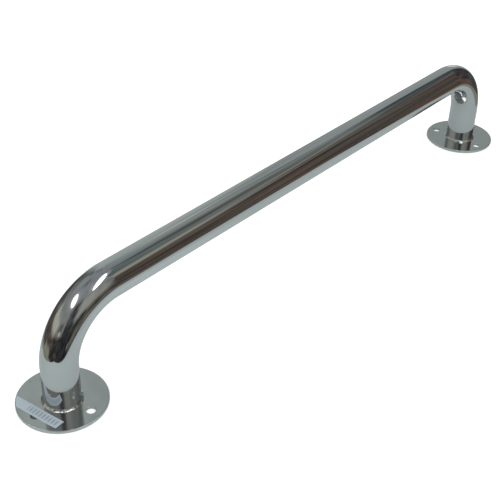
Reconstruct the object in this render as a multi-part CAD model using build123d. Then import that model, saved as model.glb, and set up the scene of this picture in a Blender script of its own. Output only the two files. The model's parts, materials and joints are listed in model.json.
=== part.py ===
from build123d import *
from math import cos, radians, sin
import os

# Welded grab rail: one bent tube, a round foot plate and a weld bead at each end, and a label strip.
# Millimetres, +Z up. The origin is on the mounting surface, midway between the two posts, and +X runs
# along the rail, so the left foot is at -X and the right foot at +X.

# Rail tube
TUBE_DIAMETER = 25.4
TUBE_WALL = 1.5
POST_SPACING = 500.0  # centre to centre of the two posts
RAIL_HEIGHT = 75.0  # from the mounting surface to the rail's centreline
BEND_RADIUS = 45.0  # on the centreline

# Foot plates
FLANGE_DIAMETER = 62.0
FLANGE_THICKNESS = 2.0
FLANGE_RIM_ROUND = 0.5
TUBE_FIT_CLEARANCE = 0.1  # radial gap between a plate's centre hole and the tube

# Screw holes: one on the rail's line at the outward side, and a pair on either side of the post
SCREW_HOLE_DIAMETER = 6.5
SCREW_HOLE_ROUND = 0.3
SCREW_PAIR_ANGLE = 103.0  # from the outward hole to each hole of the pair, about the post

# Weld beads
WELD_LEG = 2.0  # height up the post, and reach over the plate
WELD_CROWN = 0.25  # how far the bead's face bulges past a straight line from toe to toe

# Label strip on the left foot
LABEL_WIDTH = 7.7
LABEL_THICKNESS = 0.15
LABEL_WELD_GAP = 1.5  # from the weld's toe to the strip's near edge
LABEL_END_REACH = 16.1  # from the post's centre to the strip's square end, along the strip
LABEL_RIM_MARGIN = 0.1  # the strip stops this far inside the start of the rim's rounding
LABEL_TURN = 7.2  # degrees between the strip and the line across the rail

# Worked out from the sizes above
TUBE_RADIUS = TUBE_DIAMETER / 2
FLANGE_RADIUS = FLANGE_DIAMETER / 2
WELD_TOE_RADIUS = TUBE_RADIUS + WELD_LEG
SCREW_CIRCLE_RADIUS = (WELD_TOE_RADIUS + FLANGE_RADIUS) / 2  # midway between the weld's toe and the rim
LEFT = -1
RIGHT = 1


def post_x(side):
    """The X position of a post's centreline."""
    return side * POST_SPACING / 2


def rail_tube():
    """One tube that runs up the left post, along the rail and down the right post, open at both ends."""
    path = FilletPolyline(
        (post_x(LEFT), 0, 0),
        (post_x(LEFT), 0, RAIL_HEIGHT),
        (post_x(RIGHT), 0, RAIL_HEIGHT),
        (post_x(RIGHT), 0, 0),
        radius=BEND_RADIUS,
    )
    section = Circle(TUBE_RADIUS) - Circle(TUBE_RADIUS - TUBE_WALL)
    return sweep(Plane(origin=path @ 0, z_dir=path % 0) * section, path=path)


def screw_hole_places(side):
    """The three screw holes' X and Y, with the outward hole first."""
    places = []
    for angle in (0, SCREW_PAIR_ANGLE, -SCREW_PAIR_ANGLE):
        outward = SCREW_CIRCLE_RADIUS * cos(radians(angle))
        across = SCREW_CIRCLE_RADIUS * sin(radians(angle))
        places.append((post_x(side) + side * outward, across))
    return places


def flange(side):
    """A foot plate: a disc with a hole for the tube and three screw holes, its upper edges rounded."""
    disc = Pos(post_x(side), 0, 0) * extrude(Circle(FLANGE_RADIUS), FLANGE_THICKNESS)
    rim = disc.edges().filter_by(GeomType.CIRCLE).sort_by(Axis.Z)[-1]
    plate = fillet(rim, FLANGE_RIM_ROUND)
    for x, y in screw_hole_places(side):
        plate -= Pos(x, y, 0) * extrude(Circle(SCREW_HOLE_DIAMETER / 2), FLANGE_THICKNESS)
    top = plate.faces().filter_by(Axis.Z).sort_by(Axis.Z)[-1]
    plate = fillet(top.inner_wires().edges(), SCREW_HOLE_ROUND)
    tube_hole = Circle(TUBE_RADIUS + TUBE_FIT_CLEARANCE)
    return plate - Pos(post_x(side), 0, 0) * extrude(tube_hole, FLANGE_THICKNESS)


def weld_bead(side):
    """A fillet weld round the foot of a post, with a slightly crowned face."""
    root = (TUBE_RADIUS, FLANGE_THICKNESS)
    toe_on_plate = (WELD_TOE_RADIUS, FLANGE_THICKNESS)
    toe_on_post = (TUBE_RADIUS, FLANGE_THICKNESS + WELD_LEG)
    crown_shift = WELD_LEG / 2 + WELD_CROWN * sin(radians(45))
    crown = (TUBE_RADIUS + crown_shift, FLANGE_THICKNESS + crown_shift)
    outline = Line(root, toe_on_plate) + ThreePointArc(toe_on_plate, crown, toe_on_post)
    outline += Line(toe_on_post, root)
    profile = make_face(Plane.XZ * outline)
    return Pos(post_x(side), 0, 0) * revolve(profile, Axis.Z)


def label_strip():
    """A blank adhesive strip on the left foot, beside the weld, over part of the outward screw hole."""
    across = LABEL_WIDTH / 2 + WELD_TOE_RADIUS + LABEL_WELD_GAP
    strip_length = LABEL_END_REACH + FLANGE_RADIUS
    along = strip_length / 2 - LABEL_END_REACH
    strip = Rot(0, 0, LABEL_TURN) * Pos(-across, along, 0) * Rectangle(LABEL_WIDTH, strip_length)
    flat_top = Circle(FLANGE_RADIUS - FLANGE_RIM_ROUND - LABEL_RIM_MARGIN)
    return Pos(post_x(LEFT), 0, FLANGE_THICKNESS) * extrude(strip & flat_top, LABEL_THICKNESS)


PARTS = {
    "rail_tube": rail_tube(),
    "left_flange": flange(LEFT),
    "right_flange": flange(RIGHT),
    "left_weld_bead": weld_bead(LEFT),
    "right_weld_bead": weld_bead(RIGHT),
    "label_strip": label_strip(),
}

os.makedirs("parts", exist_ok=True)
for name, solid in PARTS.items():
    export_step(solid, f"parts/{name}.step")
    print(name, round(solid.volume, 1), "mm3")
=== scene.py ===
# %% [markdown]
# # A welded grab rail
# This lesson dresses a finished CAD model of a boat's grab rail: one bent tube, two round foot plates,
# a weld bead where each post meets its plate, and a small adhesive strip on one plate. The CAD model
# already has every size right, so it is loaded first and used as a fixed frame. Everything here is in
# metres, in the CAD model's own axes: X along the rail, Z up from the mounting surface.

# %% Load the CAD model as a fixed frame
import json
from math import radians

import bpy
import numpy as np
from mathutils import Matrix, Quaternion, Vector


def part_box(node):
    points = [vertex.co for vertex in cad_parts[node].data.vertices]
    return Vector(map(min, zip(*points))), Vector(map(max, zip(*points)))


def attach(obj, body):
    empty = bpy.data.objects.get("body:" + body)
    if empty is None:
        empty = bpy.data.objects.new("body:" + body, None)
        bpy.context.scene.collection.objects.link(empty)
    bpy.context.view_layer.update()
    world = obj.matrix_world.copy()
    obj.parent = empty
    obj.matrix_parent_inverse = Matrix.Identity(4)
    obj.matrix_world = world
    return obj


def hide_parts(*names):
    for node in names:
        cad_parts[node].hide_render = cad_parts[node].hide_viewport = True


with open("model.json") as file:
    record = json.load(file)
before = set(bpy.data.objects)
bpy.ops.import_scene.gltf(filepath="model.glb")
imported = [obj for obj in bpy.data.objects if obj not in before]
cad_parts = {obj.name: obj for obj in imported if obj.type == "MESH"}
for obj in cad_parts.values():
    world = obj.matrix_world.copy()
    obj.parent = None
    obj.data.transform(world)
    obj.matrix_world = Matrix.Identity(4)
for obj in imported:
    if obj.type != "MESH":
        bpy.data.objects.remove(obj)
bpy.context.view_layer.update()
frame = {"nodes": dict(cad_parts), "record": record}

scene = bpy.context.scene

# %% [markdown]
# ## Sizes, read from the frame
# New pieces must sit exactly where the CAD pieces are, so their sizes are measured on the CAD nodes and
# follow the model if it changes. A node is made of short straight edges, so the box of a round one can
# be a few hundredths of a millimetre narrow. But each round node has a corner point exactly toward +X,
# so widths are measured on that side.

# %% Measure the CAD nodes
tube_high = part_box("rail_tube")[1]
left_plate_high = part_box("left_flange")[1]
right_plate_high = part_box("right_flange")[1]
bead_low, bead_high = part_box("right_weld_bead")
strip_low, strip_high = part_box("label_strip")

post_x = (right_plate_high.x - left_plate_high.x) / 2
tube_radius = tube_high.x - post_x
rail_height = tube_high.z - tube_radius
plate_radius = right_plate_high.x - post_x
plate_top = right_plate_high.z
bead_reach = bead_high.x - post_x - tube_radius
bead_rise = bead_high.z - bead_low.z
strip_thickness = strip_high.z - strip_low.z
measured = {
    "post x": post_x,
    "tube radius": tube_radius,
    "rail height": rail_height,
    "plate radius": plate_radius,
    "bead reach": bead_reach,
    "bead rise": bead_rise,
    "strip thickness": strip_thickness,
}
print("measured, mm:", {name: round(size * 1000, 2) for name, size in measured.items()})

# %% [markdown]
# ## From a grid of points to a piece
# Each surface here is worked out with numpy as a grid of points, and one helper puts points and faces
# into a mesh. Shading is smooth, except across edges sharper than a stated angle. The object stays at
# the origin, and its place is in its mesh, like the CAD nodes.

# %% Put points and faces into a mesh
def mesh_piece(name, points, faces, sharp_degrees=40.0):
    """A mesh object made of those points and faces, which are lists of point numbers."""
    mesh = bpy.data.meshes.new(name)
    mesh.from_pydata(points, [], faces)
    mesh.shade_smooth()
    mesh.set_sharp_from_angle(angle=radians(sharp_degrees))
    piece = bpy.data.objects.new(name, mesh)
    scene.collection.objects.link(piece)
    print(name, "points", len(mesh.vertices), "faces", len(mesh.polygons))
    return piece


# %% [markdown]
# The tube and the beads are closed both ways, like a ring: round the section, and round again along the
# whole piece. A grid joined up like that never shows a seam or an open edge.

# %% Close a grid both ways
def ring_faces(rows, columns):
    """Each face is the four neighbours (i, j), (i, j+1), (i+1, j+1) and (i+1, j) of a grid, counted
    round past the end to the start."""
    index = np.arange(rows * columns).reshape(rows, columns)
    right = np.roll(index, -1, axis=1)
    corners = [index, right, np.roll(right, -1, axis=0), np.roll(index, -1, axis=0)]
    return np.stack(corners, axis=-1).reshape(-1, 4)


def ring_piece(name, grid, sharp_degrees=40.0):
    """A piece made of the points grid[i, j], which join up with themselves both ways."""
    rows, columns = grid.shape[:2]
    return mesh_piece(name, grid.reshape(-1, 3), ring_faces(rows, columns), sharp_degrees)


print("a ring of 3 by 4 points has", len(ring_faces(3, 4)), "faces")

# %% [markdown]
# A finish that follows a piece, such as grain along a tube, has to know where each point is on that
# piece. The shape's own parameters say so, and they are stored on the mesh as an attribute.

# %% Store each point's place on its piece
def add_place(piece, name, values):
    """Stores one vector per point, under that name."""
    attribute = piece.data.attributes.new(name, "FLOAT_VECTOR", "POINT")
    attribute.data.foreach_set("vector", np.asarray(values, np.float32).ravel())
    print(name, "stored for", len(attribute.data), "points")


# %% [markdown]
# ## The bent tube
# The real rail is one stainless tube, bent twice and polished to a mirror. A mirror shows every flat
# facet, so the CAD node's coarse triangles are replaced by a much finer skin of the same size. It could
# be a bevelled curve, but a curve gives no control over the wall's thickness at the open ends. So the
# centreline is a formula, made of straight stretches and quarter circles.

# %% Work out the centreline
BEND_RADIUS = 0.045
straight_post = rail_height - BEND_RADIUS
bend_arc = BEND_RADIUS * np.pi / 2
half_rail = post_x - BEND_RADIUS
half_length = straight_post + bend_arc + half_rail


def centreline(stations):
    """stations are distances run along the tube: up the left post, round a quarter circle, along the
    rail, round a quarter circle and down the right post. Both halves are worked out at once from the
    distance to the middle. Returns each station's point and the direction that points away from the
    hand gap, both in the XZ plane."""
    from_middle = np.abs(stations - half_length)
    side = np.where(stations < half_length, -1.0, 1.0)
    turned = np.clip((from_middle - half_rail) / BEND_RADIUS, 0, np.pi / 2)
    down = np.clip(from_middle - half_rail - bend_arc, 0, None)
    along = np.minimum(from_middle, half_rail) + BEND_RADIUS * np.sin(turned)
    height = straight_post + BEND_RADIUS * np.cos(turned) - down
    level = np.zeros_like(stations)
    points = np.stack([side * along, level, height], axis=-1)
    outward = np.stack([side * np.sin(turned), level, np.cos(turned)], axis=-1)
    return points, outward


print("tube length, mm:", round(2000 * half_length, 1))

# %% [markdown]
# A straight stretch needs few rings of points, and a bend needs many, or its mirror would look faceted.
# So the stations are spaced by stretch, for one half of the tube, and then mirrored for the other.

# %% Choose the stations
POST_STEPS = 10
BEND_STEPS = 72
HALF_RAIL_STEPS = 16


def tube_stations():
    """Distances along the tube, close together in the bends and further apart on the straights."""
    post = np.linspace(0, straight_post, POST_STEPS, endpoint=False)
    bend = np.linspace(straight_post, straight_post + bend_arc, BEND_STEPS, endpoint=False)
    rail = np.linspace(straight_post + bend_arc, half_length, HALF_RAIL_STEPS)
    half = np.concatenate([post, bend, rail])
    return np.concatenate([half, 2 * half_length - half[-2::-1]])


stations = tube_stations()
centres, outward = centreline(stations)
print("stations", len(stations), "highest centre, mm:", round(1000 * centres[:, 2].max(), 1))

# %% [markdown]
# A circle is carried along the centreline twice: out along the outside wall and back along the inside
# one. The two lips and both walls then close into one ring-shaped grid.

# %% Carry a circle along the centreline
TUBE_WALL = 0.0015
TUBE_AROUND = 144
angles = np.linspace(0, 2 * np.pi, TUBE_AROUND, endpoint=False)


def tube_wall(radius):
    """Each station's circle: radius times (cosine of the angle along outward, sine of it along Y)."""
    across = np.array([0.0, 1.0, 0.0])
    spokes = np.cos(angles)[None, :, None] * outward[:, None] + np.sin(angles)[None, :, None] * across
    return centres[:, None] + radius * spokes


outside = tube_wall(tube_radius)
inside = tube_wall(tube_radius - TUBE_WALL)
polished_tube = ring_piece("polished_rail_tube", np.concatenate([outside, inside[::-1]]))
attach(polished_tube, "root")
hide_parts("rail_tube")

# %% [markdown]
# The tube's own place is the distance along it, and then where the point is on the circle, as if the
# tube were straight.

# %% Store the places on the tube
run = np.concatenate([stations, stations[::-1]])[:, None]
unbent = np.broadcast_arrays(run, tube_radius * np.cos(angles), tube_radius * np.sin(angles))
add_place(polished_tube, "tube_place", np.stack(unbent, axis=-1))

# %% [markdown]
# ## The weld beads
# A welder lays metal round the foot of each post in small overlapping drops, which leaves a hollow
# fillet with soft lumps in it, and then buffs it bright. A smooth ring would look turned on a lathe, so
# the bead's face is a formula in two parameters: the way round the post, and the way across the face
# from plate to post. Sums of a few waves with whole numbers of turns make it uneven, but leave no seam
# where the bead meets its own start.

# %% Work out an uneven bead
BEAD_AROUND = 384
BEAD_ACROSS = 20
FACE_REACH = 0.74
FACE_RISE = 0.78
BEAD_HOLLOW = 1.35
TOE_WANDER = 0.00016
LUMPS = 22
LUMP_HEIGHT = 0.00030


def bead_grid(side, phase):
    """A hollow fillet round the post. Share runs from 0 at the toe on the plate to 1 at the toe on the
    post: out is the reach times (1 - share) to a power, and up is the rise times share to that power,
    so the face leaves the plate and meets the post almost flat. Both toes wander a little. The lumps
    are waves round the post whose crests bend into crescents, each as tall as slower waves allow. The
    last column of points is the corner under the fillet."""
    turn = np.linspace(0, 2 * np.pi, BEAD_AROUND, endpoint=False)[:, None]
    share = np.linspace(0, 1, BEAD_ACROSS)[None, :]
    wander = np.sin(5 * turn + phase) + 0.8 * np.sin(11 * turn + 2 * phase) + 0.4 * np.sin(17 * turn)
    reach = FACE_REACH * bead_reach + TOE_WANDER * wander
    rise = FACE_RISE * bead_rise + TOE_WANDER * np.roll(wander, BEAD_AROUND // 5, axis=0)
    crescent = 2.4 * (share - 0.5) ** 2
    beat = LUMPS * turn + 1.5 * np.sin(3 * turn + phase) + crescent
    tallness = 0.45 + 0.55 * np.sin(4 * turn - phase) * np.cos(7 * turn + 2 * phase)
    lump = LUMP_HEIGHT * tallness * (0.5 + 0.5 * np.sin(beat)) * np.sin(np.pi * share)
    out = reach * (1 - share) ** BEAD_HOLLOW + lump
    up = rise * share ** BEAD_HOLLOW + lump
    radius = np.concatenate([tube_radius + out, np.full((BEAD_AROUND, 1), tube_radius)], axis=1)
    height = np.concatenate([plate_top + up, np.full((BEAD_AROUND, 1), plate_top)], axis=1)
    return np.stack([side * post_x + radius * np.cos(turn), radius * np.sin(turn), height], axis=-1)


print("bead grid", bead_grid(side=1, phase=0.0).shape)

# %% [markdown]
# Both beads come from the one formula. A different phase makes each its own, as hand work is.

# %% Lay both beads
LEFT = -1
RIGHT = 1


def weld_bead(name, node, side, phase):
    """Makes one bead and puts it in place of its CAD ring."""
    piece = ring_piece(name, bead_grid(side, phase), sharp_degrees=60.0)
    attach(piece, "root")
    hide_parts(node)
    return piece


left_bead = weld_bead("left_weld_ripples", "left_weld_bead", LEFT, phase=0.4)
right_bead = weld_bead("right_weld_ripples", "right_weld_bead", RIGHT, phase=2.3)

# %% [markdown]
# ## The adhesive strip
# A short printed strip is stuck on the left plate, cut square at one end and trimmed by the plate's rim
# at the other. It is far thinner than anything else here. Made as a flat box it would look machined, so
# it is a thin sheet whose square end lifts a little, as paper does when its glue has dried.

# %% Work out the strip
STRIP_TURN = radians(7.2)
STRIP_WIDTH = 0.0077
STRIP_GAP_TO_WELD = 0.0015
STRIP_SQUARE_END = 0.0161
STRIP_RIM_MARGIN = 0.0006
STRIP_LIFT = 0.0005
LIFTED_SHARE = 0.25
NEAR_EDGE_LIFT = 0.55
STRIP_ROWS = 60
STRIP_COLUMNS = 12
strip_near_edge = tube_radius + bead_reach + STRIP_GAP_TO_WELD
strip_rim_radius = plate_radius - STRIP_RIM_MARGIN


def strip_grid():
    """Two parameters: the way along the strip and the way across it. Across is a plain distance from
    the post's centre. Along runs from the square end to the circle where the strip stops, so its far
    limit is the square root of that circle's radius squared less the distance across, squared. The top
    face is the sheet, and the bottom face is one thickness lower. The square end is lifted by the
    square of how near it is, and less at the edge near the weld."""
    across = np.linspace(strip_near_edge, strip_near_edge + STRIP_WIDTH, STRIP_COLUMNS)[None, :]
    share = np.linspace(0, 1, STRIP_ROWS)[:, None]
    rim_end = np.sqrt(strip_rim_radius ** 2 - across ** 2)
    along = -STRIP_SQUARE_END + share * (rim_end + STRIP_SQUARE_END)
    free = np.clip(1 - share / LIFTED_SHARE, 0, 1) ** 2
    corner = NEAR_EDGE_LIFT + (1 - NEAR_EDGE_LIFT) * (across - strip_near_edge) / STRIP_WIDTH
    top = plate_top + strip_thickness + STRIP_LIFT * free * corner
    x = -post_x - across * np.cos(STRIP_TURN) - along * np.sin(STRIP_TURN)
    y = -across * np.sin(STRIP_TURN) + along * np.cos(STRIP_TURN)
    upper = np.stack([x, y, top], axis=-1)
    lower = np.stack([x, y, top - strip_thickness], axis=-1)
    marks = np.stack(np.broadcast_arrays(along, across, 0.0), axis=-1)
    return upper, lower, marks


upper, lower, marks = strip_grid()
along_mm = 1000 * marks[..., 0]
print("along the strip, mm:", along_mm.min().round(1), "to", along_mm.max().round(1))

# %% [markdown]
# The strip is not a ring, so it is closed another way: the upper grid, the lower grid turned over, and
# a thin wall that follows all four edges.

# %% Close the strip and stick it down
def sheet_faces(rows, columns):
    """The faces of an upper grid, of a lower grid numbered after it, and of the wall between them."""
    count = rows * columns
    index = np.arange(count).reshape(rows, columns)
    cell = np.stack([index[:-1, :-1], index[1:, :-1], index[1:, 1:], index[:-1, 1:]], -1).reshape(-1, 4)
    rim = np.concatenate([index[0], index[1:, -1], index[-1, -2::-1], index[-2:0:-1, 0]])
    after = np.roll(rim, -1)
    wall = np.stack([rim, after, after + count, rim + count], axis=-1)
    return np.concatenate([cell, cell[:, ::-1] + count, wall])


both_faces = np.concatenate([upper.reshape(-1, 3), lower.reshape(-1, 3)])
label = mesh_piece("label_paper", both_faces, sheet_faces(STRIP_ROWS, STRIP_COLUMNS))
add_place(label, "strip_place", np.concatenate([marks, marks]))
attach(label, "root")
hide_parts("label_strip")

# %% [markdown]
# ## Materials
# A finish is a small tree of nodes. Written out link by link it would be long and hard to read, so a
# thin wrapper adds a node, sets it and links it in one call. Constants go straight on the shader's own
# sockets, and only what varies over the surface is linked.

# %% Add and link nodes in one call
class Tree:
    """A node tree that starts empty."""

    def __init__(self, node_tree):
        self.nodes = node_tree.nodes
        self.links = node_tree.links
        self.nodes.clear()

    def feed(self, node, name, value):
        """Sets an input, known by its name or its number, or links a socket to it."""
        socket = node.inputs[name]
        if isinstance(value, bpy.types.NodeSocket):
            self.links.new(value, socket)
        else:
            socket.default_value = value

    def add(self, kind, settings=None, **inputs):
        """Adds a node. settings are its properties; inputs are values, or sockets to link."""
        node = self.nodes.new(kind)
        for name, value in (settings or {}).items():
            setattr(node, name, value)
        for name, value in inputs.items():
            self.feed(node, name.replace("_", " "), value)
        return node


print("tree calls:", [name for name in vars(Tree) if not name.startswith("_")])

# %% [markdown]
# The finishes below share a few sums and patterns, so these get short calls of their own. A Mix node
# keeps the inputs for every kind of data side by side: its two colours are numbers 6 and 7, and its
# colour output is number 2.

# %% Sums and patterns
MIX_START = 6
MIX_END = 7
MIX_RESULT = 2


class FinishTree(Tree):
    """A node tree with short calls for what the finishes share."""

    def math(self, operation, *values):
        """One Math node."""
        node = self.add("ShaderNodeMath", {"operation": operation})
        for number, value in enumerate(values):
            self.feed(node, number, value)
        return node.outputs[0]

    def noise(self, vector, scale=1.0, detail=3.0, roughness=0.55):
        """A noise value from 0 to 1 at that vector."""
        inputs = {"Vector": vector, "Scale": scale, "Detail": detail, "Roughness": roughness}
        return self.add("ShaderNodeTexNoise", **inputs).outputs["Fac"]

    def remap(self, value, source, to):
        """A smooth step: the value's range, source, becomes the range to, and stops at its ends."""
        node = self.add("ShaderNodeMapRange", {"interpolation_type": "SMOOTHSTEP"}, Value=value)
        for name, number in zip(("From Min", "From Max", "To Min", "To Max"), (*source, *to)):
            self.feed(node, name, number)
        return node.outputs[0]

    def stretch(self, vector, scale):
        """The vector times a scale for each axis, so that a pattern is squeezed along the larger ones."""
        return self.add("ShaderNodeMapping", Vector=vector, Scale=scale).outputs[0]

    def away_from(self, vector, point):
        """The distance from that point."""
        node = self.add("ShaderNodeVectorMath", {"operation": "DISTANCE"})
        self.feed(node, 0, vector)
        self.feed(node, 1, point)
        return node.outputs["Value"]

    def mix(self, factor, start, end, blend_type="MIX"):
        """A colour that goes from start to end as the factor goes from 0 to 1."""
        node = self.add("ShaderNodeMix", {"data_type": "RGBA", "blend_type": blend_type}, Factor=factor)
        self.feed(node, MIX_START, start)
        self.feed(node, MIX_END, end)
        return node.outputs[MIX_RESULT]


print("finish calls:", [name for name in vars(FinishTree) if not name.startswith("_")])

# %% [markdown]
# Every finish starts as a shader wired to the output. Metal and matt surfaces each take three
# settings, and fine grain is raised with a bump, which bends the light without moving the surface.

# %% Start a finish and wear it
MATT_ROUGHNESS = 0.9


def new_finish(name):
    """An empty material, its tree, and a shader wired to the output."""
    material = bpy.data.materials.new(name)
    material.use_nodes = True
    tree = FinishTree(material.node_tree)
    shader = tree.add("ShaderNodeBsdfPrincipled")
    tree.add("ShaderNodeOutputMaterial", Surface=shader.outputs[0])
    return material, tree, shader


def make_metal(tree, shader, colour, roughness):
    """Turns the shader into bare metal."""
    tree.feed(shader, "Base Color", colour)
    tree.feed(shader, "Metallic", 1.0)
    tree.feed(shader, "Roughness", roughness)


def make_matt(tree, shader, colour):
    """Turns the shader into a surface with no shine at all."""
    tree.feed(shader, "Base Color", colour)
    tree.feed(shader, "Roughness", MATT_ROUGHNESS)
    tree.feed(shader, "Specular IOR Level", 0.0)


def raise_grain(tree, shader, height, strength, depth):
    """Bumps the surface by that height pattern."""
    bump = tree.add("ShaderNodeBump", Strength=strength, Distance=depth, Height=height)
    tree.feed(shader, "Normal", bump.outputs[0])


def wear(piece, material):
    """Gives a piece one material."""
    piece.data.materials.clear()
    piece.data.materials.append(material)
    print(piece.name, "wears", material.name, "with", len(material.node_tree.nodes), "nodes")


# %% [markdown]
# ### Polished tube
# Mirror polish on a tube is laid on by belts running along it, so what is left of the grain runs
# lengthways. The pattern is read from the tube's own place attribute, whose first number is the distance
# along the tube. Faint smudges raise the roughness in patches, and a slow swell bends the mirror a
# little, as in any drawn tube.

# %% Polished tube finish
STEEL = (0.63, 0.64, 0.64, 1.0)
TUBE_CLEAN_TO_SMUDGED = (0.045, 0.11)
GRAIN_DULLNESS = 0.03
GRAIN_HEIGHT = 0.02


def polished_tube_finish():
    """Metal whose roughness and fine bump follow the tube's length."""
    material, tree, shader = new_finish("polished_tube")
    place = tree.add("ShaderNodeAttribute", {"attribute_name": "tube_place"}).outputs["Vector"]
    grain = tree.noise(tree.stretch(place, (12.0, 900.0, 900.0)), detail=4.0)
    smudge = tree.noise(tree.stretch(place, (14.0, 45.0, 45.0)), detail=4.0)
    swell = tree.noise(tree.stretch(place, (9.0, 60.0, 60.0)), detail=2.0)
    smudged = tree.remap(smudge, (0.45, 0.75), to=TUBE_CLEAN_TO_SMUDGED)
    rough = tree.math("ADD", smudged, tree.math("MULTIPLY", grain, GRAIN_DULLNESS))
    make_metal(tree, shader, STEEL, rough)
    height = tree.math("ADD", tree.math("MULTIPLY", grain, GRAIN_HEIGHT), swell)
    raise_grain(tree, shader, height, strength=0.06, depth=0.0004)
    return material


wear(polished_tube, polished_tube_finish())

# %% [markdown]
# ### Polished plate
# The foot plates are stamped from sheet and buffed with a wheel, so they mirror a little less cleanly
# than the tube: the marks are short, the sheet is not perfectly flat, and a few pits stay dark. The
# rounded edges are duller than the flat top, and painted paler as a painted highlight. Geometry's Normal
# tells them apart, because its Z is 1 on the flat top and falls away round an edge.

# %% Polished plate finish
PLATE_METAL = (0.60, 0.62, 0.615, 1.0)
PAINTED_HIGHLIGHT_EDGE_METAL = (0.72, 0.76, 0.75, 1.0)
PIT = (0.12, 0.12, 0.12, 1.0)
PLATE_CLEAN_TO_SMUDGED = (0.07, 0.16)
EDGE_DULLNESS = 0.25
SCUFF_DULLNESS = 0.06
SCUFF_HEIGHT = 0.03


def polished_plate_finish(name, centre_x):
    """Metal with fine scuffs, a slow waviness and a few dark pits, in the plate's own place."""
    material, tree, shader = new_finish(name)
    spot = tree.add("ShaderNodeTexCoord").outputs["Object"]
    centred = tree.add("ShaderNodeMapping", Vector=spot, Location=(-centre_x, 0.0, 0.0)).outputs[0]
    scuffs = tree.noise(tree.stretch(centred, (160.0, 1100.0, 400.0)), detail=4.0, roughness=0.7)
    smudge = tree.noise(centred, scale=60.0, detail=4.0)
    waves = tree.noise(centred, scale=38.0, detail=1.0)
    pits = tree.remap(tree.noise(centred, scale=520.0, detail=2.0), (0.735, 0.755), to=(0.0, 1.0))
    normal = tree.add("ShaderNodeNewGeometry").outputs["Normal"]
    facing_up = tree.add("ShaderNodeSeparateXYZ", Vector=normal).outputs["Z"]
    edge = tree.remap(facing_up, (0.90, 0.999), to=(EDGE_DULLNESS, 0.0))
    # Painted highlight: the rounded edges get a paler metal colour than the flat top.
    metal = tree.mix(tree.math("MULTIPLY", edge, 1 / EDGE_DULLNESS), PLATE_METAL, PAINTED_HIGHLIGHT_EDGE_METAL)
    smudged = tree.remap(smudge, (0.4, 0.75), to=PLATE_CLEAN_TO_SMUDGED)
    rough = tree.math("ADD", smudged, tree.math("MULTIPLY", scuffs, SCUFF_DULLNESS))
    make_metal(tree, shader, tree.mix(pits, metal, PIT), tree.math("ADD", rough, edge))
    height = tree.math("ADD", waves, tree.math("MULTIPLY", scuffs, SCUFF_HEIGHT))
    raise_grain(tree, shader, height, strength=0.08, depth=0.0006)
    return material


for node, side in (("left_flange", LEFT), ("right_flange", RIGHT)):
    wear(frame["nodes"][node], polished_plate_finish(f"polished_{node}", side * post_x))

# %% [markdown]
# ### Weld metal
# The bead is bright but never as smooth as the tube: buffing reaches the tops of the lumps and leaves
# the hollows dull. Patches of roughness and a fine grain do that without following the lumps exactly.

# %% Weld finish
WELD_METAL = (0.70, 0.71, 0.70, 1.0)
WELD_BRIGHT_TO_DULL = (0.10, 0.26)


def weld_finish():
    """Bright metal with dull patches and a fine grainy bump."""
    material, tree, shader = new_finish("weld_metal")
    spot = tree.add("ShaderNodeTexCoord").outputs["Object"]
    patches = tree.noise(spot, scale=420.0, detail=2.0)
    make_metal(tree, shader, WELD_METAL, tree.remap(patches, (0.35, 0.7), to=WELD_BRIGHT_TO_DULL))
    raise_grain(tree, shader, tree.noise(spot, scale=1500.0, detail=4.0), strength=0.15, depth=0.0002)
    return material


weld_metal = weld_finish()
wear(left_bead, weld_metal)
wear(right_bead, weld_metal)

# %% [markdown]
# ### Label paper
# Matt coated paper, slightly blue, and painted a dim grey for the shade it stands in. Where a maker
# would print, this one has only a plain row of ticks, which says nothing but keeps the strip from
# looking empty. They could be separate flat pieces, but ink has no thickness, so they are worked out
# in the finish from the strip's own place attribute.

# %% Ticks on the label
TICK_STEP = 0.0027
TICK_SHARE = 0.5
TICK_HALF_HEIGHT = 0.0021
ROW_MIDDLE = -0.0015
ROW_HALF_LENGTH = 0.013
strip_middle = strip_near_edge + STRIP_WIDTH / 2


def tick_marks(tree, along, across):
    """1 on a tick and 0 beside it. Along is cut into equal steps, and a tick is the first part of a
    step, where the point is also near the middle of the strip and within the length of the row."""
    part_of_step = tree.math("FRACT", tree.math("DIVIDE", along, TICK_STEP))
    off_middle = tree.math("ABSOLUTE", tree.math("SUBTRACT", across, strip_middle))
    off_row = tree.math("ABSOLUTE", tree.math("SUBTRACT", along, ROW_MIDDLE))
    tick = tree.math("LESS_THAN", part_of_step, TICK_SHARE)
    near_middle = tree.math("LESS_THAN", off_middle, TICK_HALF_HEIGHT)
    in_row = tree.math("LESS_THAN", off_row, ROW_HALF_LENGTH)
    return tree.math("MULTIPLY", tree.math("MULTIPLY", tick, near_middle), in_row)


print("ticks in the row: about", round(2 * ROW_HALF_LENGTH / TICK_STEP))

# %% [markdown]
# Under the ticks lies the paper itself, whose fibres vary both its shade and its bump.

# %% Label finish
# Painted shade: both paper colours are a dim blue-grey rather than white, for the shade the strip stands
# in.
SHADED_PAPER_DARK = (0.32, 0.39, 0.43, 1.0)
SHADED_PAPER_LIGHT = (0.365, 0.435, 0.48, 1.0)
INK = (0.13, 0.14, 0.16, 1.0)
INK_COVER = 0.55
PAPER_ROUGHNESS = 0.62


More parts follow.
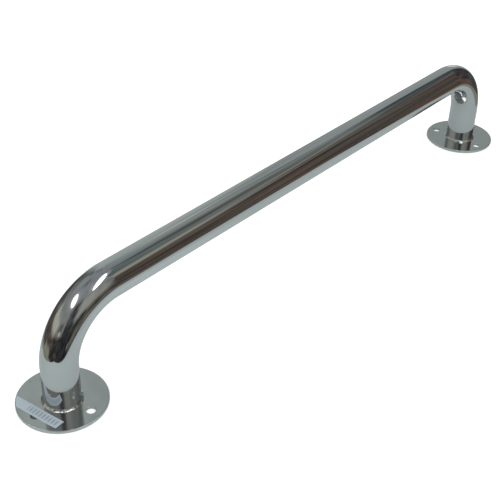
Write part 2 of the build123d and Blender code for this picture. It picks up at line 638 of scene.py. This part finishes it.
def label_finish():
    """Paper with fibres, and a row of faded ticks."""
    material, tree, shader = new_finish("label_paper")
    place = tree.add("ShaderNodeAttribute", {"attribute_name": "strip_place"}).outputs["Vector"]
    split = tree.add("ShaderNodeSeparateXYZ", Vector=place)
    ticks = tick_marks(tree, split.outputs["X"], split.outputs["Y"])
    fibres = tree.noise(tree.stretch(place, (900.0, 1400.0, 900.0)), detail=3.0)
    paper = tree.mix(tree.remap(fibres, (0.3, 0.7), to=(0.0, 1.0)), SHADED_PAPER_DARK, SHADED_PAPER_LIGHT)
    tree.feed(shader, "Base Color", tree.mix(tree.math("MULTIPLY", ticks, INK_COVER), paper, INK))
    tree.feed(shader, "Roughness", PAPER_ROUGHNESS)
    raise_grain(tree, shader, fibres, strength=0.15, depth=0.00005)
    return material


wear(label, label_finish())

# %% [markdown]
# ## The studio
# A mirror-polished tube has almost no look of its own: it shows the room. So the room is designed. To
# the eye the rail stands on a plain white light table. The metal sees something richer: a grey sheet
# under the feet with a warmer card below it, a pale backdrop behind the rail, two ceiling lamps, and a
# dim room all round. Flat polygons are enough for the table, the sheet and the card. They lie just
# below the plates in thin layers, so that none hides in another.

# %% A flat piece of the stage
BLACK = (0.0, 0.0, 0.0, 1.0)
WHITE = (1.0, 1.0, 1.0, 1.0)
LAYER = 0.0001


def flat_piece(name, corners, height):
    """A flat polygon at that height."""
    points = [(x, y, height) for x, y in corners]
    piece = mesh_piece(name, points, [list(range(len(corners)))])
    return piece


def seen_by_metal_only(piece):
    """The piece shows in reflections and nowhere else."""
    piece.visible_camera = False
    piece.visible_diffuse = False
    piece.visible_transmission = False
    piece.visible_shadow = False


print("one layer of the stage, mm:", LAYER * 1000)

# %% [markdown]
# The light table is matt white, lit a little from inside, so that shadows on it stay very faint. One
# screw hole of the left plate lies under the strip, where hardly any light gets in. The table would
# shine through it, so a painted shadow darkens its white and fades out its glow under that hole, whose
# place the record's mounts give.

# %% White light table
TABLE_HALF_WIDTH = 4.0
TABLE_WHITE = (0.62, 0.62, 0.62, 1.0)
TABLE_GLOW = 0.55
# The painted shadow under the covered hole: where it fades, and how much white and glow it leaves.
HOLE_SHADOW_FADE = (0.005, 0.0065)
PAINTED_SHADOW_UNDER_HOLE = 0.12
hole_mount = next(mount for mount in frame["record"]["mounts"] if mount["name"] == "outward_screw_holes")
covered_hole = (-hole_mount["dims"]["spacing_x_mm"] / 2000, 0.0, 0.0)
print("covered hole at", covered_hole)


def light_table_finish():
    """Matt white with an even glow, both dimmed by a painted shadow near the covered hole."""
    material, tree, shader = new_finish("light_table")
    spot = tree.add("ShaderNodeTexCoord").outputs["Object"]
    # Painted shadow: the table's white and its glow both fade close to the covered hole.
    glow = tree.remap(tree.away_from(spot, covered_hole), HOLE_SHADOW_FADE, to=(PAINTED_SHADOW_UNDER_HOLE, 1.0))
    make_matt(tree, shader, tree.mix(glow, BLACK, TABLE_WHITE))
    tree.feed(shader, "Emission Color", WHITE)
    tree.feed(shader, "Emission Strength", tree.math("MULTIPLY", glow, TABLE_GLOW))
    return material


half = TABLE_HALF_WIDTH
table_corners = [(-half, -half), (half, -half), (half, half), (-half, half)]
light_table = flat_piece("light_table", table_corners, -4 * LAYER)
wear(light_table, light_table_finish())
light_table.visible_glossy = False

# %% [markdown]
# The grey sheet lies just above the table and is hidden from everything except reflections. It is cut
# unevenly, and painted light and shade make it fade a little away from its brightest spot, as paper
# does away from a lamp.

# %% Grey sheet for the metal to mirror
SHEET = [(-0.385, -0.05), (-0.30, -0.10), (-0.19, -0.178), (-0.08, -0.182), (0.0, -0.20), (0.22, -0.20)]
SHEET += [(0.305, -0.07), (0.35, 0.0), (0.355, 0.12), (-0.33, 0.12), (-0.38, 0.02)]
SHEET_PAINTED_LIGHT_POOL = (-0.115, -0.05, 0.0)
SHEET_GREY = (0.506, 0.567, 0.565, 1.0)
SHEET_MIDDLE_X = -0.1


def sheet_finish():
    """Matt grey paper with painted light and shade. Four painted shades multiply: one falls off toward
    the front edge, one toward the back, one toward both ends, and one away from the painted pool of
    light."""
    material, tree, shader = new_finish("grey_sheet")
    spot = tree.add("ShaderNodeTexCoord").outputs["Object"]
    split = tree.add("ShaderNodeSeparateXYZ", Vector=spot)
    from_middle = tree.math("ABSOLUTE", tree.math("SUBTRACT", split.outputs["X"], SHEET_MIDDLE_X))
    # Painted light and shade on the grey: darker toward the front edge, the back and both ends, and a
    # painted pool of light round the brightest spot.
    front = tree.remap(split.outputs["Y"], (-0.20, -0.05), to=(0.80, 1.0))
    back = tree.remap(split.outputs["Y"], (0.0, 0.06), to=(1.0, 0.93))
    ends = tree.remap(from_middle, (0.24, 0.50), to=(1.0, 0.79))
    bright = tree.remap(tree.away_from(spot, SHEET_PAINTED_LIGHT_POOL), (0.03, 0.11), to=(1.0, 0.885))
    shade = tree.math("MULTIPLY", tree.math("MULTIPLY", front, back), tree.math("MULTIPLY", ends, bright))
    make_matt(tree, shader, tree.mix(shade, BLACK, SHEET_GREY))
    return material


sheet = flat_piece("grey_sheet", SHEET, -2 * LAYER)
wear(sheet, sheet_finish())
seen_by_metal_only(sheet)

# %% [markdown]
# A slightly larger card lies between the sheet and the table. Where it sticks out, the metal shows a
# thin warm edge round the grey, as it would on a real bench.

# %% Warm card under the sheet
CARD = [(-0.37, 0.0), (0.20, -0.10), (0.31, -0.10), (0.36, -0.07), (0.385, 0.0), (0.385, 0.10)]
CARD += [(-0.33, 0.17), (-0.40, 0.19), (-0.44, 0.12), (-0.43, 0.05), (-0.40, 0.015)]
CARD_BROWN = (0.205, 0.215, 0.168, 1.0)


def card_finish():
    """Matt card the colour of unbleached pulp."""
    material, tree, shader = new_finish("warm_card")
    make_matt(tree, shader, CARD_BROWN)
    return material


card = flat_piece("warm_card", CARD, -3 * LAYER)
wear(card, card_finish())
seen_by_metal_only(card)

# %% [markdown]
# The room is painted on the world as soft patches, each one placed by its direction from the rail. Only
# the metal sees them. Everything matt sees an even white, which is what makes the light soft. A picture
# of a room would be simpler, but patches need no file, and each one can be moved on its own.

# %% A soft patch
HALF_TURN = 180.0
PATCH_INPUTS = [("Under", "Color")]
PATCH_INPUTS += [(name, "Float") for name in ("Azimuth", "Elevation", "Middle", "Half width")]
PATCH_INPUTS += [(name, "Float") for name in ("Height", "Half height", "Soft")]
PATCH_INPUTS += [("Colour", "Color")]


def patch_group():
    """A node group: the colour under the patch goes in, and the patch's colour covers it where the
    direction is near the patch's middle, with a smooth edge in azimuth and in elevation."""
    group = bpy.data.node_groups.new("room_patch", "ShaderNodeTree")
    for name, kind in PATCH_INPUTS:
        group.interface.new_socket(name=name, in_out="INPUT", socket_type=f"NodeSocket{kind}")
    group.interface.new_socket(name="Colour out", in_out="OUTPUT", socket_type="NodeSocketColor")
    tree = FinishTree(group)
    given = tree.add("NodeGroupInput").outputs
    round_the_room = tree.math("SUBTRACT", given["Azimuth"], given["Middle"])
    off_side = tree.math("WRAP", round_the_room, HALF_TURN, -HALF_TURN)
    off_up = tree.math("SUBTRACT", given["Elevation"], given["Height"])
    cover = []
    for off, half_size in ((off_side, given["Half width"]), (off_up, given["Half height"])):
        start = tree.math("SUBTRACT", half_size, given["Soft"])
        end = tree.math("ADD", half_size, given["Soft"])
        cover.append(tree.remap(tree.math("ABSOLUTE", off), (start, end), to=(1.0, 0.0)))
    covered = tree.mix(tree.math("MULTIPLY", *cover), given["Under"], given["Colour"])
    output = tree.add("NodeGroupOutput")
    tree.feed(output, "Colour out", covered)
    return group


soft_patch = patch_group()
print("patch group nodes", len(soft_patch.nodes))

# %% [markdown]
# A patch's shade is chosen as it should look in the steel, but steel gives back only part of the light,
# and a screen's numbers are not amounts of light. So each shade is turned into the light it needs.

# %% From a shade in the steel to light in the room
SCREEN_OFFSET = 0.055
SCREEN_POWER = 2.4


def tone(shade):
    """The light that makes polished steel show this screen shade, given as red, green and blue out of
    255: the screen's curve is undone, then the share of light that the steel loses is put back."""
    screen = np.array(shade) / 255
    linear = ((screen + SCREEN_OFFSET) / (1 + SCREEN_OFFSET)) ** SCREEN_POWER
    return (*(linear / np.array(STEEL[:3])), 1.0)


print("a middle grey needs", np.round(tone((128, 128, 128)), 3))

# %% [markdown]
# ### The room, patch by patch
# Each patch is a name, then degrees: the azimuth of its middle (0 along +X, 90 along +Y) and its half
# width, the elevation of its middle and its half height, and how soft its edge is. The last entry is
# the shade it should show in polished steel. Later patches cover earlier ones. The dim part comes
# first: ceiling, walls, rugs on a board floor, wood panels and dark glass.

# %% The dim part of the room
CEILING = (113, 118, 119)
DIM_ROOM = [
    ("ceiling overhead", 0, 181, 90, 15, 6, (117, 120, 126)),
    ("walls", 0, 181, 0, 46, 6, (112, 115, 113)),
    ("low walls", 0, 181, 0, 18, 5, (92, 94, 90)),
    ("boards", 0, 181, -45, 51, 4, (60, 60, 57)),
    ("red rug", -40, 22, -45, 50, 6, (73, 61, 56)),
    ("olive rug", -84, 16, -45, 49, 5, (70, 70, 61)),
    ("dark corner", -132, 25, -45, 50, 6, (37, 38, 40)),
    ("dark boards left", 178, 14, -45, 50, 6, (46, 43, 43)),
    ("dark boards behind", 110, 30, -45, 47, 6, (66, 64, 60)),
    ("olive cloth", 148, 17, -17, 11, 5, (120, 123, 106)),
    ("board edge", -81, 33, -14, 3, 3, (86, 87, 86)),
    ("dark boards right", -6, 14, -11, 7, 4, (50, 56, 58)),
    ("behind skirting", 140, 38, 4, 6, 3, (72, 64, 59)),
    ("behind wall lit", 143, 27, 21, 9, 6, (152, 153, 144)),
    ("behind wall", 92, 16, 26, 12, 6, (97, 102, 102)),
    ("behind wall top", 95, 20, 50, 10, 8, (121, 124, 124)),
    ("behind wall foot", 86, 14, 5, 9, 4, (60, 59, 60)),
    ("ceiling shade", 100, 24, 73, 6, 5, (92, 103, 101)),
    ("front lamp glow", -62, 44, 66, 9, 9, (140, 141, 148)),
    ("left lamp glow", 172, 38, 60, 9, 9, (140, 141, 148)),
    ("dim ceiling", -20, 31, 53, 6.5, 3.5, (76, 84, 82)),
    ("cornice left", -47, 9, 37, 3.5, 2.5, (140, 140, 129)),
    ("doorway top", -12, 20, 40, 4.5, 2.5, (72, 73, 70)),
    ("cornice right", -12, 22, 42, 1.8, 1.3, (114, 116, 109)),
    ("wood", -46, 17, 14, 21, 5, (65, 60, 55)),
    ("wood lit", -52, 4, 24, 8, 3, (86, 80, 72)),
    ("wood shaded", -41, 3, 8, 10, 2.5, (60, 54, 51)),
    ("doorway", -13, 17, 15, 20, 5, (53, 49, 47)),
    ("red chair", -21, 7, 23, 5, 3, (66, 47, 44)),
    ("dark glass", 3, 8, 16, 22, 4, (47, 50, 57)),
    ("dark glass top", 5, 9, 40.5, 2, 1.5, (78, 86, 88)),
    ("front wall", -99, 15, 31, 15, 4.5, (133, 135, 130)),
    ("front wall side", -78, 10, 24, 14, 6, (125, 125, 120)),
    ("front skirting", -80, 9, 6, 5, 3, (84, 84, 75)),
    ("front skirting shaded", -103, 13, 4, 6, 3, (40, 43, 40)),
    ("front corner", -62, 5, 33, 6, 4, (104, 108, 104)),
    ("dark figure", -133, 14, 30, 24, 6, (62, 63, 66)),
    ("dark figure low", -134, 15, 6, 16, 6, (38, 41, 44)),
    ("left skirting", -165, 17, 2, 9, 4, (43, 45, 44)),
    ("left shelf", -170, 11, 24, 4.5, 3, (82, 88, 82)),
    ("left window", -166, 4, 16, 2.5, 2, (160, 170, 168)),
]
print("dim patches", len(DIM_ROOM))

# %% [markdown]
# Behind the rail hangs a pale backdrop. It fills a good part of what the top of the rail mirrors, so
# its folds, its shaded top and its bright rim get patches of their own.

# %% The pale backdrop
PALE_ROOM = [
    ("backdrop", 40, 27.5, -20, 70, 4, (127, 134, 133)),
    ("backdrop low", 38, 25, -40, 35, 6, (114, 121, 121)),
    ("backdrop lit", 56, 7, 8, 28, 4, (142, 150, 148)),
    ("backdrop fold low", 45.5, 1.5, 8, 14, 1.5, (121, 128, 127)),
    ("backdrop fold", 42, 2.5, 27, 8, 2, (119, 124, 125)),
    ("backdrop fold high", 33.5, 3, 41.5, 3, 2, (108, 111, 110)),
    ("backdrop shaded top", 20, 6.5, 43.5, 2.2, 2, (90, 97, 99)),
    ("backdrop top", 45, 5, 45.5, 3, 2, (109, 124, 125)),
    ("backdrop shine", 42.5, 3.5, 36.5, 3, 2, (155, 162, 158)),
    ("backdrop shine high", 38.5, 2.5, 41, 2, 1.5, (148, 153, 150)),
    ("backdrop glow", 55, 5, 44, 3.5, 2, (141, 149, 147)),
    ("backdrop corner", 27, 4.5, 4, 4.5, 2.5, (215, 220, 218)),
    ("backdrop rim", 63, 4, -34, 13, 3, (222, 224, 224)),
    ("dark line", 11, 7.5, 37.3, 2.9, 1.8, (54, 62, 67)),
    ("backdrop edge top", 58, 7, 49.5, 2, 2, (78, 88, 90)),
    ("backdrop edge", 72, 4, 40, 8, 3, (80, 90, 97)),
    ("backdrop edge low", 78, 5, 20, 13, 3, (74, 86, 88)),
]
print("pale patches", len(PALE_ROOM))

# %% [markdown]
# Soft cloudy noise is laid over the dim patches only. On the bent mirror of the tube it stretches into
# the long uneven streaks that a real, cluttered room makes. A second noise tints it, here cooler and
# there warmer. Bright parts of the room are mostly left alone, because plain walls show no clutter.

# %% Add clutter to the dim part
COOL = (0.90, 1.0, 1.06, 1.0)
WARM = (1.16, 0.98, 0.90, 1.0)
CLUTTER_DIM_TO_LIT = (0.45, 1.6)
CLUTTER_DARK_TO_BRIGHT_ROOM = (1.0, 0.12)


def add_clutter(tree, direction, dim):
    """The dim colour times a noise and times a tint, mixed in by how dark the dim colour is."""
    cloud = tree.noise(direction, scale=6.5, detail=4.0, roughness=0.65)
    clutter = tree.remap(cloud, (0.33, 0.67), to=CLUTTER_DIM_TO_LIT)
    cluttered = tree.add("ShaderNodeVectorMath", {"operation": "SCALE"}, Scale=clutter)
    tree.feed(cluttered, 0, dim)
    warmth = tree.noise(tree.stretch(direction, (9.0, 7.0, 8.0)), detail=2.0)
    tint = tree.mix(tree.remap(warmth, (0.38, 0.62), to=(0.0, 1.0)), COOL, WARM)
    tinted = tree.mix(1.0, cluttered.outputs[0], tint, blend_type="MULTIPLY")
    brightness = tree.add("ShaderNodeRGBToBW", Color=dim).outputs[0]
    share = tree.remap(brightness, (0.10, 0.32), to=CLUTTER_DARK_TO_BRIGHT_ROOM)
    return tree.mix(share, dim, tinted)


print("clutter scales the dim room by", CLUTTER_DIM_TO_LIT)

# %% [markdown]
# The world puts it together. The direction of each ray gives the azimuth and the elevation that the
# patches are placed by, and the Light Path node tells rays that come from glossy metal from the rest.

# %% Paint the world
EVEN_LIGHT = 1.08


def lay_patches(tree, patches, colour, azimuth, elevation):
    """Lays the patches over that colour, one after another, and returns the colour on top."""
    for name, *place, shade in patches:
        node = tree.add("ShaderNodeGroup", {"node_tree": soft_patch, "label": name})
        for number, value in enumerate((colour, azimuth, elevation, *place, tone(shade))):
            tree.feed(node, number, value)
        colour = node.outputs[0]
    return colour


def paint_world(name):
    """Even white for matt surfaces and the camera; the painted room for the metal."""
    world = bpy.data.worlds.new(name)
    world.use_nodes = True
    tree = FinishTree(world.node_tree)
    direction = tree.add("ShaderNodeTexCoord").outputs["Generated"]
    split = tree.add("ShaderNodeSeparateXYZ", Vector=direction)
    degrees = HALF_TURN / np.pi
    azimuth = tree.math("MULTIPLY", tree.math("ARCTAN2", split.outputs["Y"], split.outputs["X"]), degrees)
    elevation = tree.math("MULTIPLY", tree.math("ARCSINE", split.outputs["Z"]), degrees)
    dim = lay_patches(tree, DIM_ROOM, tone(CEILING), azimuth, elevation)
    room = lay_patches(tree, PALE_ROOM, add_clutter(tree, direction, dim), azimuth, elevation)
    mirrored = tree.add("ShaderNodeBackground", Color=room, Strength=1.0)
    even = tree.add("ShaderNodeBackground", Color=WHITE, Strength=EVEN_LIGHT)
    in_metal = tree.add("ShaderNodeLightPath").outputs["Is Glossy Ray"]
    both = tree.add("ShaderNodeMixShader", Fac=in_metal)
    tree.feed(both, 1, even.outputs[0])
    tree.feed(both, 2, mirrored.outputs[0])
    tree.add("ShaderNodeOutputWorld", Surface=both.outputs[0])
    print("world nodes", len(tree.nodes))
    return world


scene.world = paint_world("studio")

# %% [markdown]
# Two long oval lamps hang flat against the ceiling. Bright patches could stand for them in the tube,
# but real area lamps also light the lumps of the weld, which gives the beads their sparkle.

# %% Ceiling lamps
LAMP_HEIGHT = 2.0


def ceiling_lamp(name, place, aim_along, length, width, power):
    """An oval lamp at that place on the ceiling, its long side along aim_along, shining down."""
    lamp = bpy.data.lights.new(name, "AREA")
    lamp.shape = "ELLIPSE"
    lamp.size = length
    lamp.size_y = width
    lamp.energy = power
    holder = bpy.data.objects.new(name, lamp)
    holder.location = (*place, LAMP_HEIGHT)
    holder.rotation_euler = (0, 0, np.arctan2(aim_along[1], aim_along[0]))
    scene.collection.objects.link(holder)
    print(name, "at", place, "watts", power)


ceiling_lamp("front_lamp", (0.13, -0.86), (0.519, 0.855), length=1.46, width=0.55, power=5.0)
ceiling_lamp("left_lamp", (-1.356, 0.083), (0.480, 0.877), length=1.31, width=0.59, power=4.5)

# %% [markdown]
# ## The camera
# The rail is seen from above its left end, so that it runs away to the upper right. The camera is
# placed, aimed at a point on the mounting surface, and rolled slightly about its own axis.

# %% Camera
CAMERA_PLACE = Vector((-0.5424, -0.3987, 0.4686))
CAMERA_AIM = Vector((-0.0347, 0.0227, 0.0))
CAMERA_ROLL = radians(2.32)
LENS_MM = 71.9
SENSOR_MM = 36.0

camera_data = bpy.data.cameras.new("camera")
camera_data.lens = LENS_MM
camera_data.sensor_width = SENSOR_MM
camera = bpy.data.objects.new("camera", camera_data)
level = (CAMERA_AIM - CAMERA_PLACE).to_track_quat("-Z", "Y")
camera.rotation_mode = "QUATERNION"
camera.rotation_quaternion = level @ Quaternion((0.0, 0.0, 1.0), CAMERA_ROLL)
camera.location = CAMERA_PLACE
scene.collection.objects.link(camera)
bpy.context.scene.camera = camera
scene.view_settings.view_transform = "Standard"
print("camera to aim, metres:", round((CAMERA_AIM - CAMERA_PLACE).length, 3))

# %% [markdown]
